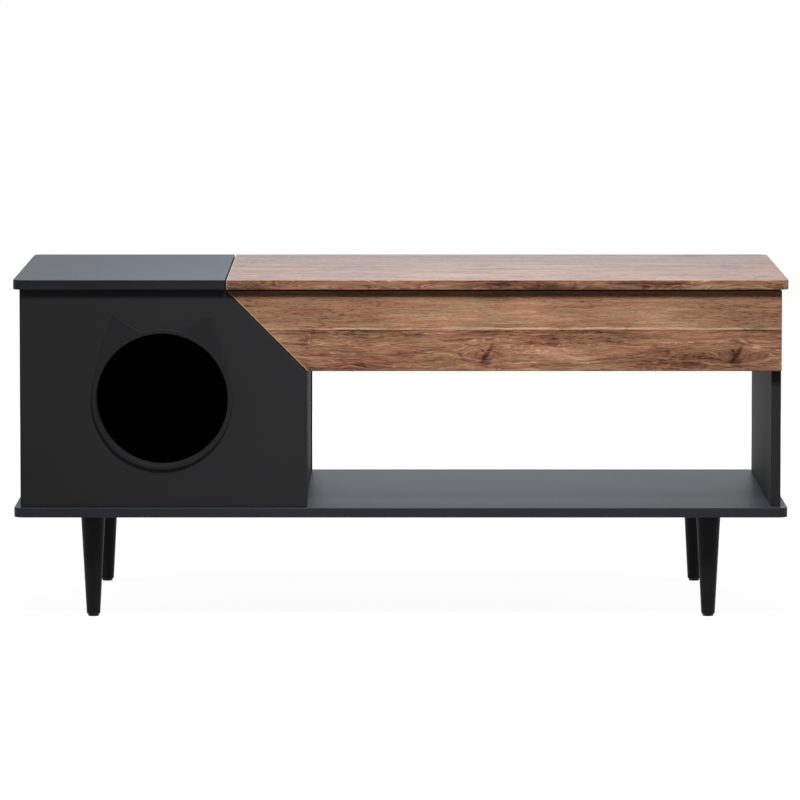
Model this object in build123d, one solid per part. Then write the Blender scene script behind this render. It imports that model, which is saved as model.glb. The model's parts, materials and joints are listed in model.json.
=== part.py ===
"""Coffee table with a cat house at one end and a lift-up top over a storage box at the other.

Millimetres. The origin is on the floor under the middle of the table. +X runs along the table, away
from the cat house, the front with the entrance faces -Y, and +Z is up.
"""

import math
import os

from build123d import *

# Overall size
table_length = 1200.0
table_depth = 600.0
table_height = 530.0
leg_height = 161.0
board = 15.0

# Carcass
overhang = 10.0
house_length = 445.0
partition_inset = 2.0
apron_height = 125.0
floor_inset = 2.0
roof_rail_height = 45.0
plan_radius = 15.0
edge_radius = 1.0

# Gaps that show as dark lines: under the lifting top, beside it, and along the slanted joint
lid_gap = 2.0
seam_gap = 2.0
slant_gap = 1.0

# Cat entrance, a moulded ring shaped like a cat's head
entrance_inset = 220.0
entrance_rise = 168.0
entrance_radius = 102.0
sleeve_wall = 2.5
sleeve_reach = 20.0
trim_width = 7.5
trim_proud = 4.0
trim_round = 1.5
ear_tip_x = 75.0
ear_tip_z = 133.0
ear_outer_x = 88.0
ear_outer_z = 97.0
ear_inner_x = 51.0
ear_inner_z = 116.0
ear_round = 3.0
ear_low_angle = 17.0
ear_high_angle = 73.0
lock_ring_width = 9.0
lock_ring_thickness = 3.0

# Legs
leg_inset_x = 120.0
leg_inset_y = 65.0
leg_top_radius = 19.0
leg_foot_radius = 10.5
leg_foot_round = 2.5
glide_height = 3.0
glide_radius = 8.5
glide_stem_radius = 3.0
glide_stem_length = 10.0
hanger_radius = 4.0
hanger_depth = 25.0
insert_radius = 6.0
insert_depth = 12.0

# Joining hardware in the boards
dowel_radius = 4.0
dowel_short = 10.0
dowel_long = 20.0
cam_radius = 7.5
cam_depth = 12.5
cam_reach = 34.0
cam_slot_depth = 2.0
cam_slot_half_width = 0.9
cam_slot_half_length = 4.0
cam_bolt_radius = 3.0
cam_bolt_grip = 10.0
cam_edge_distance = 60.0
shelf_screw_radius = 3.0
shelf_screw_length = 50.0
shelf_screw_head_radius = 5.0
angle_leg = 25.0
angle_width = 16.0
angle_sheet = 2.0
joint_setback = 125.0

# Wood screws of the fittings
screw_radius = 2.0
screw_head_radius = 4.0
screw_head_depth = 2.2
screw_length = 12.0
screw_edge_distance = 10.0
flange_screw_share = 0.6
recess_length = 4.0
recess_width = 0.9
recess_depth = 1.0

# Lift mechanism: two arms a side, which keep the top level as it rises and comes forward
arm_length = 200.0
arm_half_width = 9.0
arm_thickness = 3.8
arm_closed_angle = 8.0
arm_open_angle = 125.0
pivot_spacing = 100.0
pivot_slope = -20.0
front_pivot_setback = 105.0
front_pivot_rise = 60.0
pivot_radius = 4.0
running_clearance = 0.05
open_pivot_clearance = 0.3
axial_clearance = 0.1
pivot_head_radius = 7.0
pivot_head_thickness = 2.0
shoulder_radius = 8.0
shoulder_thickness = 1.0
bracket_sheet = 3.0
bracket_margin = 30.0
bracket_rise = 20.0
bracket_foot = 26.0
bracket_round = 6.0
top_bracket_margin = 20.0
top_bracket_drop = 14.0
top_bracket_foot = 30.0
stop_stud_radius = 4.0
stop_stud_distance = 32.0
bumper_radius = 5.0
bumper_slack = 0.1
bumper_inset_left = 60.0
bumper_inset_right = 30.0

# Torsion springs round the front pivots
wire_radius = 1.1
spring_pitch = 2.8
spring_turns = 4
spring_gap = 0.2
spring_leg = 24.0
spring_bend = 2.5
spool_slack = 0.7
spool_cap_thickness = 2.0
anchor_stud_radius = 2.5
anchor_drop = 24.0

# Planes that the sizes above fix
left_end = -table_length / 2
right_end = table_length / 2
front_end = -table_depth / 2
back_end = table_depth / 2
body_left = left_end + overhang
body_right = right_end - overhang
body_front = front_end + overhang
body_back = back_end - overhang
inside_left = body_left + board
inside_right = body_right - board
inside_front = body_front + board
inside_back = body_back - board
shelf_bottom = leg_height
shelf_top = shelf_bottom + board
top_bottom = table_height - board
lid_rest = top_bottom - lid_gap
apron_bottom = lid_rest - apron_height
house_right = body_left + house_length
partition_right = house_right - partition_inset
partition_left = partition_right - board
slant_top_x = house_right - apron_height
seam_left = slant_top_x - lid_gap
seam_right = seam_left + seam_gap
floor_bottom = apron_bottom + floor_inset
floor_top = floor_bottom + board
roof_rail_left = seam_left - board
roof_rail_bottom = top_bottom - roof_rail_height
roof_strip_bottom = lid_rest - board
entrance_x = body_left + entrance_inset
entrance_z = shelf_top + entrance_rise
joint_spacing = inside_back - joint_setback

# Places in the lift mechanism, as distances from the side wall and as points in Y and Z
base_plate_face = bracket_sheet
shoulder_face = base_plate_face + shoulder_thickness
arm_near = shoulder_face + axial_clearance
arm_far = arm_near + arm_thickness
top_plate_near = arm_far + axial_clearance + shoulder_thickness
top_plate_far = top_plate_near + bracket_sheet
spring_radius = arm_half_width + wire_radius + spring_gap
spool_radius = spring_radius - wire_radius - spool_slack
wind_start = arm_closed_angle - 90.0
wind_angle = wind_start + 360.0 + 360.0 * spring_turns
helix_rise = spring_pitch / (2 * math.pi * spring_radius)
spring_start = arm_far + spring_gap + wire_radius + (spring_leg + spring_bend) * helix_rise
spring_end = spring_start + spring_pitch * wind_angle / 360.0
spring_hook = arm_thickness + spring_gap + wire_radius - spring_bend
spool_end = spring_end + wire_radius + spring_gap + spring_pitch / 2

SIDES = ("left", "right")


def polar(origin, distance, angle):
    """The point in Y and Z at a distance from another, at an angle from +Y towards +Z."""
    turn = math.radians(angle)
    return (origin[0] + distance * math.cos(turn), origin[1] + distance * math.sin(turn))


front_pivot = (inside_front + front_pivot_setback, floor_top + front_pivot_rise)
rear_pivot = polar(front_pivot, pivot_spacing, pivot_slope)
front_top_pivot = polar(front_pivot, arm_length, arm_closed_angle)
rear_top_pivot = polar(rear_pivot, arm_length, arm_closed_angle)


def block(x, y, z):
    """A box between two values on each axis."""
    size = [pair[1] - pair[0] for pair in (x, y, z)]
    middle = [(pair[1] + pair[0]) / 2 for pair in (x, y, z)]
    return Pos(*middle) * Box(*size)


def rod(start, direction, length, radius):
    """A cylinder from a point along a direction."""
    return extrude(Plane(start, z_dir=direction) * Circle(radius), length)


def cone(start, direction, length, radius, end_radius):
    """A cone from a point along a direction."""
    plane = Plane(start, z_dir=direction)
    return plane * Pos(0, 0, length / 2) * Cone(radius, end_radius, length)


def boxed(solids):
    """Each solid with the box round it."""
    return [(solid, solid.bounding_box()) for solid in solids]


def without(piece, spaces):
    """The board with the space of each fastener that reaches it cut out."""
    box = piece.bounding_box()
    return piece - [solid for solid, around in spaces if boxes_meet(box, around)]


def boxes_meet(a, b):
    """Whether two boxes meet."""
    return all(
        low <= high
        for low, high in (
            (a.min.X, b.max.X), (b.min.X, a.max.X),
            (a.min.Y, b.max.Y), (b.min.Y, a.max.Y),
            (a.min.Z, b.max.Z), (b.min.Z, a.max.Z),
        )
    )


def soften(piece, radius=edge_radius):
    """The piece with all its edges rounded like banded board."""
    return fillet(piece.edges(), radius)


def upright_edges(piece, x):
    """The vertical edges of a board at one X."""
    return [e for e in piece.edges().filter_by(Axis.Z) if abs(e.center().X - x) < edge_radius]


def countersunk_screw(head, direction, length=screw_length):
    """A countersunk wood screw whose head lies flush at a point, with a cross recess."""
    sunk = cone(head, direction, screw_head_depth, screw_head_radius, screw_radius)
    shank = rod(head, direction, length, screw_radius)
    plane = Plane(head, z_dir=direction)
    bars = [
        plane * Pos(0, 0, recess_depth / 2) * Box(a, b, recess_depth)
        for a, b in ((recess_length, recess_width), (recess_width, recess_length))
    ]
    return (sunk + shank) - bars[0] - bars[1]


def screw_hole(head, direction, length=screw_length):
    """The space that a countersunk screw fills, its recess with it."""
    sunk = cone(head, direction, screw_head_depth, screw_head_radius, screw_radius)
    return sunk + rod(head, direction, length, screw_radius)


# Boards

def make_house_top():
    piece = block((left_end, seam_left), (front_end, back_end), (top_bottom, table_height))
    piece = fillet(upright_edges(piece, left_end), plan_radius)
    return soften(piece)


def make_lift_top_panel():
    piece = block((seam_right, right_end), (front_end, back_end), (top_bottom, table_height))
    piece = fillet(upright_edges(piece, right_end), plan_radius)
    return soften(piece)


def make_bottom_shelf():
    piece = block((left_end, right_end), (front_end, back_end), (shelf_bottom, shelf_top))
    piece = fillet(piece.edges().filter_by(Axis.Z), plan_radius)
    return soften(piece)


def slanted_house_panel(y):
    """The cat house's front or back, cut back at 45 degrees under the table top."""
    gap_across = slant_gap * math.sqrt(2)
    outline = Plane.XZ.offset(-y[1]) * make_face(Polyline(
        (body_left, shelf_top),
        (house_right, shelf_top),
        (house_right, apron_bottom - gap_across),
        (seam_left - gap_across, top_bottom),
        (body_left, top_bottom),
        close=True,
    ))
    return soften(extrude(outline, y[1] - y[0]))


def slanted_apron(y):
    """The storage box's front or back, with the matching 45 degree end."""
    outline = Plane.XZ.offset(-y[1]) * make_face(Polyline(
        (house_right, apron_bottom),
        (body_right, apron_bottom),
        (body_right, lid_rest),
        (slant_top_x, lid_rest),
        close=True,
    ))
    return soften(extrude(outline, y[1] - y[0]))


def make_house_front_panel():
    panel = slanted_house_panel((body_front, inside_front))
    start = (entrance_x, body_front, entrance_z)
    return panel - rod(start, (0, 1, 0), board, entrance_radius + sleeve_wall)


def make_house_back_panel():
    return slanted_house_panel((inside_back, body_back))


def make_front_apron():
    return slanted_apron((body_front, inside_front))


def make_rear_apron():
    return slanted_apron((inside_back, body_back))


def inner_board(x, z):
    """A board that runs from the front panels to the back panels."""
    return block(x, (inside_front, inside_back), z)


def make_house_left_panel():
    return soften(inner_board((body_left, inside_left), (shelf_top, top_bottom)))


def make_house_partition():
    return inner_board((partition_left, partition_right), (shelf_top, lid_rest))


def make_right_side_panel():
    return soften(inner_board((inside_right, body_right), (shelf_top, lid_rest)))


def make_house_roof_rail():
    return inner_board((roof_rail_left, seam_left), (roof_rail_bottom, top_bottom))


def make_house_roof_strip():
    return inner_board((seam_left, partition_left), (roof_strip_bottom, lid_rest))


def make_compartment_floor():
    return inner_board((partition_right, inside_right), (floor_bottom, floor_top))


# Cat entrance

def ear(side):
    """One ear of the cat's head, in X and Z from the middle of the entrance."""
    outer = entrance_radius + trim_width
    low_turn = math.radians(ear_low_angle)
    high_turn = math.radians(ear_high_angle)
    tip = (side * ear_tip_x, ear_tip_z)
    low = (side * outer * math.cos(low_turn), outer * math.sin(low_turn))
    high = (side * outer * math.cos(high_turn), outer * math.sin(high_turn))
    outline = make_face([
        ThreePointArc(low, (side * ear_outer_x, ear_outer_z), tip),
        ThreePointArc(tip, (side * ear_inner_x, ear_inner_z), high),
        Line(high, (0, 0)),
        Line((0, 0), low),
    ])
    point = outline.vertices().sort_by(Axis.Y)[-1]
    return fillet(point, ear_round)


def make_entrance_trim():
    outer = entrance_radius + trim_width
    face = Circle(outer) + ear(-1) + ear(1)
    face = face - Circle(entrance_radius)
    flange = extrude(Plane.XZ.offset(-body_front) * Pos(entrance_x, entrance_z) * face, trim_proud)
    flange = fillet(flange.faces().sort_by(Axis.Y)[0].edges(), trim_round)
    start = (entrance_x, body_front, entrance_z)
    sleeve_length = board + sleeve_reach
    sleeve = rod(start, (0, 1, 0), sleeve_length, entrance_radius + sleeve_wall)
    return flange + (sleeve - rod(start, (0, 1, 0), sleeve_length, entrance_radius))


def make_entrance_lock_ring():
    start = (entrance_x, inside_front, entrance_z)
    inner = entrance_radius + sleeve_wall
    ring = rod(start, (0, 1, 0), lock_ring_thickness, inner + lock_ring_width)
    return ring - rod(start, (0, 1, 0), lock_ring_thickness, inner)


# Legs

def leg_places():
    """The legs' names and places in plan."""
    return {
        f"{depth}_{side}_leg": (x, y)
        for depth, y in (("front", front_end + leg_inset_y), ("rear", back_end - leg_inset_y))
        for side, x in (("left", left_end + leg_inset_x), ("right", right_end - leg_inset_x))
    }


def make_leg(place):
    x, y = place
    length = shelf_bottom - glide_height
    leg = cone((x, y, glide_height), (0, 0, 1), length, leg_foot_radius, leg_top_radius)
    foot = leg.edges().sort_by(Axis.Z)[0]
    leg = fillet(foot, leg_foot_round)
    leg = leg - rod((x, y, shelf_bottom - hanger_depth), (0, 0, 1), hanger_depth, hanger_radius)
    return leg - rod((x, y, glide_height), (0, 0, 1), glide_stem_length, glide_stem_radius)


def make_glide(place):
    x, y = place
    pad = rod((x, y, 0), (0, 0, 1), glide_height, glide_radius)
    pad = fillet(pad.edges().sort_by(Axis.Z)[0], edge_radius)
    return pad + rod((x, y, glide_height), (0, 0, 1), glide_stem_length, glide_stem_radius)


def make_hanger_bolt(place):
    x, y = place
    start = (x, y, shelf_bottom - hanger_depth)
    return rod(start, (0, 0, 1), hanger_depth + insert_depth, hanger_radius)


def insert_space(place):
    """The space in the shelf that a threaded insert fills."""
    return rod((*place, shelf_bottom), (0, 0, 1), insert_depth, insert_radius)


def make_insert(place):
    start = (*place, shelf_bottom)
    return insert_space(place) - rod(start, (0, 0, 1), insert_depth, hanger_radius)


# Joining hardware

def panel_middles():
    """The middle X of each upright board that stands on the shelf."""
    return (
        (body_left + inside_left) / 2,
        (partition_left + partition_right) / 2,
        (inside_right + body_right) / 2,
    )


def make_shelf_screws():
    """Long screws up through the shelf into each upright board."""
    spaces = []
    screws = []
    for x in panel_middles():
        for y in (-joint_spacing, 0.0, joint_spacing):
            head = (x, y, shelf_bottom)
            sunk = cone(head, (0, 0, 1), screw_head_depth, shelf_screw_head_radius, shelf_screw_radius)
            whole = sunk + rod(head, (0, 0, 1), shelf_screw_length, shelf_screw_radius)
            key = extrude(Plane(head, z_dir=(0, 0, 1)) * RegularPolygon(recess_length / 2, 6), recess_depth)
            spaces.append(whole)
            screws.append(whole - key)
    return screws, spaces


def cam_places():
    """Each cam lock's face, which way its disc goes in, the end that it pulls, and its height."""
    low = shelf_top + cam_edge_distance
    places = []
    for end in (-1, 1):
        for z in (low, top_bottom - cam_edge_distance):
            places.append((inside_left, -1, end, z))
        for z in (low, apron_bottom - cam_edge_distance):
            places.append((partition_left, 1, end, z))
        apron_middle = (floor_top + lid_rest) / 2
        places.append((partition_right, -1, end, apron_middle))
        places.append((inside_right, 1, end, apron_middle))
    return places


def make_cam_hardware():
    """The cam discs in the upright boards and the bolts that they draw in from the front and back."""
    discs = []
    bolts = []
    spaces = []
    for x, into_board, end, z in cam_places():
        edge = inside_back if end > 0 else inside_front
        centre_y = edge - end * cam_reach
        space = rod((x, centre_y, z), (into_board, 0, 0), cam_depth, cam_radius)
        bolt_x = x + into_board * board / 2
        bolt = rod((bolt_x, centre_y, z), (0, end, 0), cam_reach + cam_bolt_grip, cam_bolt_radius)
        slot = block(
            (x - cam_slot_depth, x + cam_slot_depth),
            (centre_y - cam_slot_half_width, centre_y + cam_slot_half_width),
            (z - cam_slot_half_length, z + cam_slot_half_length),
        )
        spaces.append(space)
        discs.append(space - bolt - slot)
        bolts.append(bolt)
    return discs, bolts, spaces


def make_wood_dowels():
    """Wooden dowels, the short part of each in the board that it locates."""
    length = dowel_short + dowel_long
    dowels = []
    for x in panel_middles():
        for y in (-joint_spacing / 2, joint_spacing / 2):
            dowels.append(rod((x, y, shelf_top - dowel_short), (0, 0, 1), length, dowel_radius))
    for y in (-joint_spacing, joint_spacing):
        for x in ((body_left + inside_left) / 2, (roof_rail_left + seam_left) / 2):
            dowels.append(rod((x, y, top_bottom + dowel_short), (0, 0, -1), length, dowel_radius))
    for y in ((body_front + inside_front) / 2, (inside_back + body_back) / 2):
        for x in (entrance_x - joint_spacing, entrance_x):
            dowels.append(rod((x, y, top_bottom + dowel_short), (0, 0, -1), length, dowel_radius))
    floor_middle = (floor_bottom + floor_top) / 2
    for y in (-joint_spacing, 0.0, joint_spacing):
        dowels.append(rod((partition_right - dowel_short, y, floor_middle), (1, 0, 0), length, dowel_radius))
        dowels.append(rod((inside_right + dowel_short, y, floor_middle), (-1, 0, 0), length, dowel_radius))
    strip_middle = (roof_strip_bottom + lid_rest) / 2
    for y in (-joint_spacing, joint_spacing):
        dowels.append(rod((partition_left + dowel_short, y, strip_middle), (-1, 0, 0), length, dowel_radius))
    rail_x = (roof_rail_left + seam_left) / 2
    rail_z = (roof_rail_bottom + roof_strip_bottom) / 2
    dowels.append(rod((rail_x, inside_front - dowel_short, rail_z), (0, 1, 0), length, dowel_radius))
    dowels.append(rod((rail_x, inside_back + dowel_short, rail_z), (0, -1, 0), length, dowel_radius))
    return [chamfer(d.edges().filter_by(GeomType.CIRCLE), edge_radius) for d in dowels], dowels


def make_angle_brackets():
    """Steel angles under the black top, with one screw up and one sideways each."""
    angles = []
    screws = []
    spaces = []
    for face_x, away in ((inside_left, 1), (roof_rail_left, -1)):
        for y in (-joint_spacing / 2, joint_spacing / 2):
            across = (y - angle_width / 2, y + angle_width / 2)
            lying = sorted((face_x, face_x + away * angle_leg))
            standing = sorted((face_x, face_x + away * angle_sheet))
            plate = block(lying, across, (top_bottom - angle_sheet, top_bottom))
            plate = plate + block(standing, across, (top_bottom - angle_leg, top_bottom))
            middle = angle_leg * flange_screw_share
            up = ((face_x + away * middle, y, top_bottom - angle_sheet), (0, 0, 1))
            out = ((face_x + away * angle_sheet, y, top_bottom - middle), (-away, 0, 0))
            for head, direction in (up, out):
                space = screw_hole(head, direction)
                plate = plate - space
                spaces.append(space)
                screws.append(countersunk_screw(head, direction))
            angles.append(plate)
    return angles, screws, spaces


# Lift mechanism

def wall(side, distance):
    """The X at a distance from the side wall of the storage box."""
    return partition_right + distance if side == "left" else inside_right - distance


def inward(side):
    """The X direction from the side wall into the storage box."""
    return 1 if side == "left" else -1


def pin(side, point, near, far, radius):
    """A cylinder across the box between two distances from the side wall."""
    return rod((wall(side, near), *point), (inward(side), 0, 0), far - near, radius)


def sheet(side, outline, near, far):
    """A plate between two distances from the side wall, from an outline in Y and Z."""
    low = min(wall(side, near), wall(side, far))
    plane = Plane((low, 0, 0), x_dir=(0, 1, 0), z_dir=(1, 0, 0))
    return extrude(plane * outline, far - near)


def base_bracket_span():
    """Where the base brackets start and end along Y."""
    return (front_pivot[0] - bracket_margin, rear_pivot[0] + bracket_margin)


def base_screw_points(side):
    """The heads and directions of the screws that hold one base bracket."""
    start, end = base_bracket_span()
    top = front_pivot[1] + bracket_rise
    inset = screw_edge_distance
    x = wall(side, bracket_sheet)
    points = [((x, y, z), (-inward(side), 0, 0)) for y, z in (
        (start + inset, top - inset),
        (start + inset, floor_top + bracket_sheet + inset),
        ((front_pivot[0] + rear_pivot[0]) / 2, top - inset),
        (end - inset, (front_pivot[1] + rear_pivot[1]) / 2 + inset),
    )]
    foot_x = wall(side, bracket_foot * flange_screw_share)
    for y in (start + 2 * inset, end - 2 * inset):
        points.append(((foot_x, y, floor_top + bracket_sheet), (0, 0, -1)))
    return points


def make_base_bracket(side):
    """A pressed angle on the side wall and the box's floor, which holds the two lower pivots."""
    start, end = base_bracket_span()
    top = front_pivot[1] + bracket_rise
    rear_top = rear_pivot[1] + bracket_rise
    outline = make_face(Polyline(
        (start, floor_top),
        (end, floor_top),
        (end, rear_top),
        (rear_pivot[0] - bracket_margin / 2, top),
        (start, top),
        close=True,
    ))
    outline = fillet(outline.vertices().filter_by(lambda v: v.Y > floor_top + bracket_round), bracket_round)
    plate = sheet(side, outline, 0, bracket_sheet)
    foot = block(
        sorted((wall(side, 0), wall(side, bracket_foot))),
        (start, end),
        (floor_top, floor_top + bracket_sheet),
    )
    plate = plate + foot
    for point in (front_pivot, rear_pivot):
        plate = plate - pin(side, point, 0, bracket_sheet, pivot_radius)
    plate = plate - pin(side, stop_stud_point(), 0, bracket_sheet, anchor_stud_radius)
    plate = plate - pin(side, anchor_point(), 0, bracket_sheet, anchor_stud_radius)
    for head, direction in base_screw_points(side):
        plate = plate - screw_hole(head, direction)
    return plate


def make_arm(side, start, end, end_clearance):
    """A flat steel arm with round ends and a hole at each pivot."""
    turn = math.degrees(math.atan2(end[1] - start[1], end[0] - start[0]))
    middle = ((start[0] + end[0]) / 2, (start[1] + end[1]) / 2)
    outline = Pos(*middle) * Rot(0, 0, turn) * SlotCenterToCenter(arm_length, 2 * arm_half_width)
    arm = sheet(side, outline, arm_near, arm_far)
    arm = arm - pin(side, start, arm_near, arm_far, pivot_radius + running_clearance)
    return arm - pin(side, end, arm_near, arm_far, pivot_radius + end_clearance)


def make_base_pivot(side, point, sprung):
    """A lower pivot, riveted in the base bracket, with a spool on it where a spring goes round it."""
    rivet = pin(side, point, 0, arm_far + axial_clearance, pivot_radius)
    rivet = rivet + pin(side, point, base_plate_face, shoulder_face, shoulder_radius)
    start = arm_far + axial_clearance
    if not sprung:
        return rivet + pin(side, point, start, start + pivot_head_thickness, pivot_head_radius)
    rivet = rivet + pin(side, point, start, spool_end, spool_radius)
    cap_end = spool_end + spool_cap_thickness
    return rivet + pin(side, point, spool_end, cap_end, spring_radius + 2 * wire_radius)


def make_top_pivot(side, point):
    """An upper pivot, riveted in the top bracket, with its head between the arm and the wall."""
    head_far = arm_near - axial_clearance
    rivet = pin(side, point, head_far, top_plate_far, pivot_radius)
    rivet = rivet + pin(side, point, head_far - pivot_head_thickness, head_far, pivot_head_radius)
    return rivet + pin(side, point, arm_far + axial_clearance, top_plate_near, shoulder_radius)


def stop_stud_point():
    """Where the stud stands that the front arm's edge meets when the top is up."""
    along = polar(front_pivot, stop_stud_distance, arm_open_angle)
    return polar(along, arm_half_width + stop_stud_radius + spring_gap, arm_open_angle + 90.0)


def anchor_point():
    """Where the stud stands that the spring's lower leg pulls on."""
    y = front_pivot[0] + spring_radius - wire_radius - anchor_stud_radius - running_clearance
    return (y, front_pivot[1] - anchor_drop)


def make_stop_stud(side):
    stud = pin(side, stop_stud_point(), 0, bracket_sheet, anchor_stud_radius)
    return stud + pin(side, stop_stud_point(), bracket_sheet, arm_far, stop_stud_radius)


def make_anchor_stud(side):
    return pin(side, anchor_point(), 0, spring_end + 2 * spring_pitch, anchor_stud_radius)


def helix_point(angle):
    """A point on the spring's turns, as the distance from the wall and the place in Y and Z."""
    y, z = polar(front_pivot, spring_radius, wind_start - angle)
    return (spring_start + spring_pitch * angle / 360.0, y, z)


def helix_direction(angle):
    """Which way the spring's wire runs there."""
    turn = math.radians(wind_start - angle)
    return Vector(helix_rise, math.sin(turn), -math.cos(turn)).normalized()


def two_arcs(start, start_direction, end, end_direction):
    """Two arcs that join two points and follow the directions given at them."""
    gap = start - end
    both = start_direction + end_direction
    a = 2 * (start_direction.dot(end_direction) - 1)
    b = 2 * gap.dot(both)
    c = gap.dot(gap)
    reach = (-b - math.sqrt(b * b - 4 * a * c)) / (2 * a)
    first = start + start_direction * reach
    second = end - end_direction * reach
    middle = (first + second) * 0.5
    return [
        Edge.make_tangent_arc(start, start_direction, middle),
        Edge.make_tangent_arc(middle, (second - first).normalized(), end),
    ]


def spring_path():
    """The left spring's wire: a hook under the arm, a leg, the turns, and a leg to the anchor."""
    steps = math.ceil(wind_angle / 90.0)
    angles = [wind_angle * i / steps for i in range(steps + 1)]
    points = [Vector(*helix_point(a)) for a in angles]
    directions = [helix_direction(a) for a in angles]
    leg_start = points[0] - directions[0] * spring_leg
    bend_centre_side = Vector(-1, 0, 0)
    hook_top = leg_start - directions[0] * spring_bend + bend_centre_side * spring_bend
    hook_end = hook_top + bend_centre_side * spring_hook
    edges = [Edge.make_line(hook_end, hook_top)]
    edges += two_arcs(hook_top, -bend_centre_side, leg_start, directions[0])
    edges.append(Edge.make_line(leg_start, points[0]))
    for i in range(steps):
        edges += two_arcs(points[i], directions[i], points[i + 1], directions[i + 1])
    leg_end = points[-1] + directions[-1] * (anchor_drop + 2 * anchor_stud_radius)
    edges.append(Edge.make_line(points[-1], leg_end))
    return Wire(edges)


def make_torsion_spring(side):
    """A wound spring that helps the top up, made on the left and mirrored for the right."""
    path = spring_path()
    section = Plane(path @ 0, z_dir=path % 0) * Circle(wire_radius)
    spring = sweep(section, path=path)
    spring = Pos(partition_right, 0, 0) * spring
    if side == "left":
        return spring
    middle = (partition_right + inside_right) / 2
    return mirror(spring, Plane.YZ.offset(middle))


def least_spring_gap():
    """The least space between one stretch of the spring's wire and another."""
    step = 10.0
    count = int(wind_angle / step)
    points = [Vector(*helix_point(i * step)) for i in range(count + 1)]
    away = int(180.0 / step)
    spans = [
        (points[i] - points[j]).length
        for i in range(len(points))
        for j in range(i + away, len(points))
    ]
    return min(spans) - 2 * wire_radius


def top_bracket_span():
    """Where the top brackets start and end along Y."""
    return (front_top_pivot[0] - top_bracket_margin, rear_top_pivot[0] + top_bracket_margin)


def top_screw_points(side):
    """The heads and directions of the screws that hold one top bracket to the lifting top."""
    start, end = top_bracket_span()
    inset = screw_edge_distance
    x = wall(side, top_plate_near + top_bracket_foot * flange_screw_share)
    head_z = top_bottom - bracket_sheet
    return [((x, y, head_z), (0, 0, 1)) for y in (start + inset, (start + end) / 2, end - inset)]


def make_top_bracket(side):
    """A pressed angle under the lifting top, which holds the two upper pivots."""
    start, end = top_bracket_span()
    outline = make_face(Polyline(
        (start, top_bottom),
        (start, front_top_pivot[1] - top_bracket_drop),
        (end, rear_top_pivot[1] - top_bracket_drop),
        (end, top_bottom),
        close=True,
    ))
    outline = fillet(outline.vertices().filter_by(lambda v: v.Y < top_bottom - bracket_round), bracket_round)
    plate = sheet(side, outline, top_plate_near, top_plate_far)
    flange = block(
        sorted((wall(side, top_plate_near), wall(side, top_plate_near + top_bracket_foot))),
        (start, end),
        (top_bottom - bracket_sheet, top_bottom),
    )
    plate = plate + flange
    for point in (front_top_pivot, rear_top_pivot):
        plate = plate - pin(side, point, top_plate_near, top_plate_far, pivot_radius)
    for head, direction in top_screw_points(side):
        plate = plate - screw_hole(head, direction)
    return plate


def make_lid_bumpers():
    """Small soft stops that the closed top rests on, at the corners of the storage box."""
    bumpers = []
    for y in ((body_front + inside_front) / 2, (inside_back + body_back) / 2):
        for x in (slant_top_x + bumper_inset_left, body_right - bumper_inset_right):
            bumpers.append(rod((x, y, lid_rest), (0, 0, 1), lid_gap - bumper_slack, bumper_radius))
    return bumpers


def both(make, *places):
    """The same piece at the left and right of the storage box."""
    return [make(side, *places) for side in SIDES]


def build():
    """Every piece of the table by name."""
    legs = leg_places()
    feet = legs.values()
    shelf_screws, shelf_screw_spaces = make_shelf_screws()
    cam_discs, cam_bolts, cam_spaces = make_cam_hardware()
    dowels, dowel_spaces = make_wood_dowels()
    angles, angle_screws, angle_spaces = make_angle_brackets()
    base_points = [p for side in SIDES for p in base_screw_points(side)]
    top_points = [p for side in SIDES for p in top_screw_points(side)]
    spaces = boxed([
        *shelf_screw_spaces,
        *cam_spaces,
        *cam_bolts,
        *dowel_spaces,
        *angle_spaces,
        *[insert_space(p) for p in feet],
        *[screw_hole(*p) for p in base_points + top_points],
    ])

    boards = {
        "house_top": make_house_top(),
        "house_front_panel": make_house_front_panel(),
        "house_back_panel": make_house_back_panel(),
        "house_left_panel": make_house_left_panel(),
        "house_partition": make_house_partition(),
        "house_roof_rail": make_house_roof_rail(),
        "house_roof_strip": make_house_roof_strip(),
        "right_side_panel": make_right_side_panel(),
        "bottom_shelf": make_bottom_shelf(),
        "front_apron": make_front_apron(),
        "rear_apron": make_rear_apron(),
        "compartment_floor": make_compartment_floor(),
        "lift_top_panel": make_lift_top_panel(),
    }
    groups = {
        "leg_inserts": [make_insert(p) for p in feet],
        "leg_hanger_bolts": [make_hanger_bolt(p) for p in feet],
        "foot_glides": [make_glide(p) for p in feet],
        "shelf_screws": shelf_screws,
        "cam_discs": cam_discs,
        "cam_bolts": cam_bolts,
        "wood_dowels": dowels,
        "angle_brackets": angles,
        "angle_bracket_screws": angle_screws,
        "base_bracket_screws": [countersunk_screw(*p) for p in base_points],
        "top_bracket_screws": [countersunk_screw(*p) for p in top_points],
        "arm_stop_studs": both(make_stop_stud),
        "spring_anchor_studs": both(make_anchor_stud),
        "front_base_pivots": both(make_base_pivot, front_pivot, True),
        "rear_base_pivots": both(make_base_pivot, rear_pivot, False),
        "front_top_pivots": both(make_top_pivot, front_top_pivot),
        "rear_top_pivots": both(make_top_pivot, rear_top_pivot),
        "lid_bumpers": make_lid_bumpers(),
    }

    pieces = {name: without(board_piece, spaces) for name, board_piece in boards.items()}
    pieces |= {name: Compound(children=solids) for name, solids in groups.items()}
    pieces |= {name: make_leg(place) for name, place in legs.items()}
    pieces["entrance_trim"] = make_entrance_trim()
    pieces["entrance_lock_ring"] = make_entrance_lock_ring()
    for side in SIDES:
        pieces[f"{side}_base_bracket"] = make_base_bracket(side)
        pieces[f"{side}_front_arm"] = make_arm(side, front_pivot, front_top_pivot, running_clearance)
        pieces[f"{side}_rear_arm"] = make_arm(side, rear_pivot, rear_top_pivot, open_pivot_clearance)
        pieces[f"{side}_top_bracket"] = make_top_bracket(side)
        pieces[f"{side}_torsion_spring"] = make_torsion_spring(side)
    return pieces


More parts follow.
